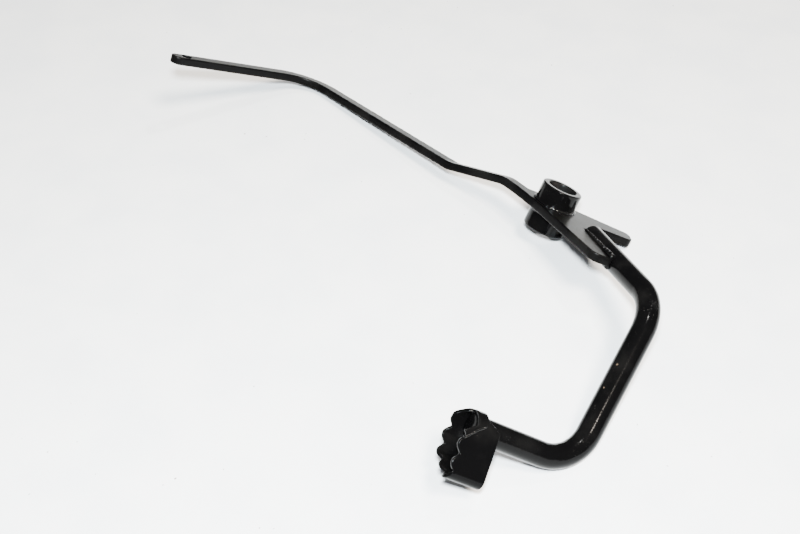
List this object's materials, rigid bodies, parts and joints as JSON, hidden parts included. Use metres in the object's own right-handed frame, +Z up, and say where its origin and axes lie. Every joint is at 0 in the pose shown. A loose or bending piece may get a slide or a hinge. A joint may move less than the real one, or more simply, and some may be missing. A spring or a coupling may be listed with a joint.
{
  "type": "foot control lever",
  "caption": "Welded black foot lever: pivot tube, stamped plate with a long bent strip arm, and a round bar bent down to a serrated foot pad.",
  "frame": {"origin": "centre of the pivot tube's bore, halfway along it", "axes": "+Z up from the surface the lever lies on; +Y away from the foot pad, along the lever's longest extent, +X towards the stop horn; the pivot bore is tipped, along (0.399, 0.322, 0.859)"},
  "size_m": [0.2962, 0.3803, 0.0615],
  "materials": {
    "black_enamel": "gloss",
    "painted_weld": "gloss"
  },
  "bodies": {
    "root": {"pivot_tube": "black_enamel", "arm_plate": "black_enamel", "pedal_bar": "black_enamel", "foot_pad": "black_enamel", "weld_pivot_upper": "painted_weld", "weld_pivot_lower": "painted_weld", "weld_bar_inner": "painted_weld", "weld_bar_outer": "painted_weld", "weld_pad_front": "painted_weld", "weld_pad_rear": "painted_weld"}
  },
  "joints": []
}
